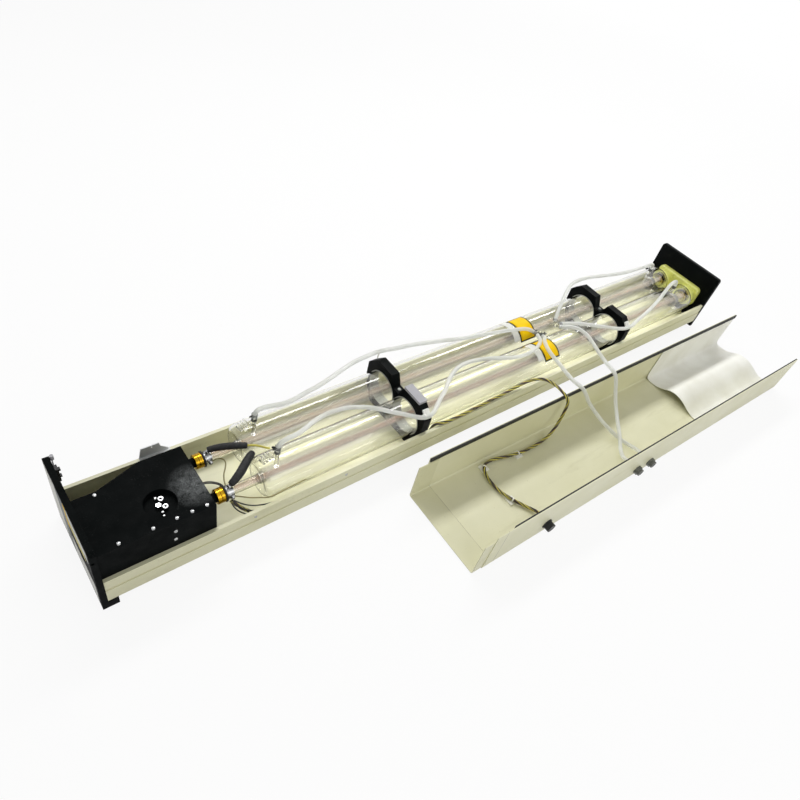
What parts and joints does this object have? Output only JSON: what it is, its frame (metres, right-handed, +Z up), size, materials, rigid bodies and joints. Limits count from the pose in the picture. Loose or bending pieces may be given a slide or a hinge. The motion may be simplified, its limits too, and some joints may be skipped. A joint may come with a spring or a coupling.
{
  "type": "co2 laser tube",
  "caption": "Water-cooled glass laser tubes folded end to end in an open steel tray, with a mirror box, cooling hoses and the lift-off cover lying alongside.",
  "frame": {"origin": "on the tray's centre line at the ground, where the front foot meets the front plate", "axes": "+X along the tray from the front plate to the rear plate, +Y across towards the side away from the loose cover, +Z up"},
  "size_m": [1.708, 0.4953, 0.1704],
  "materials": {
    "cream_enamel": "satin powder coat",
    "black_enamel": "fine textured powder coat",
    "black_clamp": "matt machined plastic",
    "olive_block": "satin paint",
    "bright_metal": "bright plated",
    "grey_metal": "satin",
    "brass": "polished, lightly scratched",
    "jacket_glass": "clear blown glass",
    "inner_glass": "clear glass, faintly tinted",
    "electrode_metal": "dull",
    "mirror": "polished",
    "black_rubber": "matt",
    "black_plastic": "matt moulding",
    "grey_plastic": "matt moulding",
    "liner_rubber": "matt",
    "white_hose": "translucent silicone",
    "clear_fitting": "translucent moulding",
    "wire_yellow": "satin insulation",
    "white_sheet": "smooth sheet",
    "dull_fitting": "dull plated"
  },
  "bodies": {
    "root": {"base_tray": "cream_enamel", "front_plate": "black_enamel", "rear_plate": "black_enamel", "front_foot": "black_enamel", "wall_screws": "grey_metal", "head_box_body": "black_enamel", "head_box_front_lid": "black_enamel", "head_box_rear_lid": "black_enamel", "adjuster_well": "black_enamel", "adjuster_nuts": "bright_metal", "adjuster_knob": "bright_metal", "adjuster_screws": "bright_metal", "box_screws": "bright_metal", "mirror_necks": "black_enamel", "near_brass_coupling": "brass", "far_brass_coupling": "brass", "coupling_seals": "black_rubber", "terminal_clamps": "bright_metal", "near_jacket": "jacket_glass", "far_jacket": "jacket_glass", "water_nipples": "jacket_glass", "near_water_tube": "inner_glass", "far_water_tube": "inner_glass", "near_bore_tube": "inner_glass", "far_bore_tube": "inner_glass", "cathodes": "electrode_metal", "anodes": "electrode_metal", "front_clamp_base": "black_clamp", "front_clamp_cap": "black_clamp", "rear_clamp_base": "black_clamp", "rear_clamp_cap": "black_clamp", "clamp_liners": "liner_rubber", "clamp_pad": "white_sheet", "clamp_screws": "bright_metal", "fold_block": "olive_block", "fold_mirrors": "mirror", "cover_catch": "grey_metal", "interlock_switch": "black_plastic", "interlock_lever": "grey_plastic", "rear_switch": "black_plastic", "far_sleeve": "black_rubber", "near_sleeve": "black_rubber", "lead_wires": "wire_yellow", "hose_far_front": "white_hose", "hose_near_front": "white_hose", "hose_far_rear": "white_hose", "hose_near_rear": "white_hose", "hose_inlet": "white_hose", "hose_outlet": "white_hose", "hose_tees": "clear_fitting", "hose_clips": "dull_fitting", "harness": "wire_yellow", "cover_shell": "cream_enamel", "cover_lap_strip": "cream_enamel", "cover_far_trim": "black_rubber", "cover_near_trim": "black_rubber", "cover_liner": "white_sheet", "water_fittings": "dull_fitting", "panel_connector": "black_plastic", "tie_mounts": "clear_fitting"}
  },
  "joints": []
}
